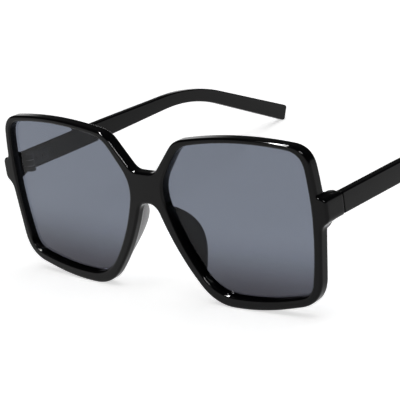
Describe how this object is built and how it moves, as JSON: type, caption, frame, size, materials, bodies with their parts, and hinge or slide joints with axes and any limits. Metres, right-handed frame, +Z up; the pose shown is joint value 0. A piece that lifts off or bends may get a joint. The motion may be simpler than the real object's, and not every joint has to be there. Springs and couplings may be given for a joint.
{
  "type": "sunglasses",
  "caption": "Large square black plastic sunglasses with grey gradient lenses, nose pads and slim temples that fold on screw hinges.",
  "frame": {"origin": "on the table under the middle of the whole object, with the temples open", "axes": "+X towards the wearer's left temple, +Y from the front back along the temples, +Z up; z = 0 is the plane that the rims and the temple tips stand on"},
  "size_m": [0.1492, 0.1616, 0.0596],
  "materials": {
    "frame_plastic": "polished black plastic",
    "temple_plastic": "polished black plastic",
    "pad_plastic": "polished black plastic",
    "lens_tint": "grey tint, darker towards the bottom edge",
    "hinge_metal": "dark plated",
    "screw_metal": "bright",
    "washer_nylon": "matt",
    "wire_steel": "drawn"
  },
  "bodies": {
    "front": {"frame_front": "frame_plastic", "lens_left": "lens_tint", "lens_right": "lens_tint", "nose_pad_left": "pad_plastic", "nose_pad_right": "pad_plastic", "front_hinge_leaf_left": "hinge_metal", "front_hinge_leaf_right": "hinge_metal", "front_leaf_screws_left": "screw_metal", "front_leaf_screws_right": "screw_metal", "hinge_washers_left": "washer_nylon", "hinge_washers_right": "washer_nylon", "pivot_screw_left": "screw_metal", "pivot_screw_right": "screw_metal"},
    "temple_left": {"temple_left": "temple_plastic", "core_wire_left": "wire_steel", "temple_hinge_leaf_left": "hinge_metal", "temple_leaf_screws_left": "screw_metal"},
    "temple_right": {"temple_right": "temple_plastic", "core_wire_right": "wire_steel", "temple_hinge_leaf_right": "hinge_metal", "temple_leaf_screws_right": "screw_metal"}
  },
  "joints": [
    {"name": "temple_left_fold", "type": "hinge", "parent": "front", "child": "temple_left", "pos_m": [0.0696, -0.06632, 0.03697], "axis": [0, 0.0593, 0.9982], "range_deg": [0, 90]},
    {"name": "temple_right_fold", "type": "hinge", "parent": "front", "child": "temple_right", "pos_m": [-0.0696, -0.06632, 0.03697], "axis": [0, -0.0593, -0.9982], "range_deg": [0, 84]}
  ]
}
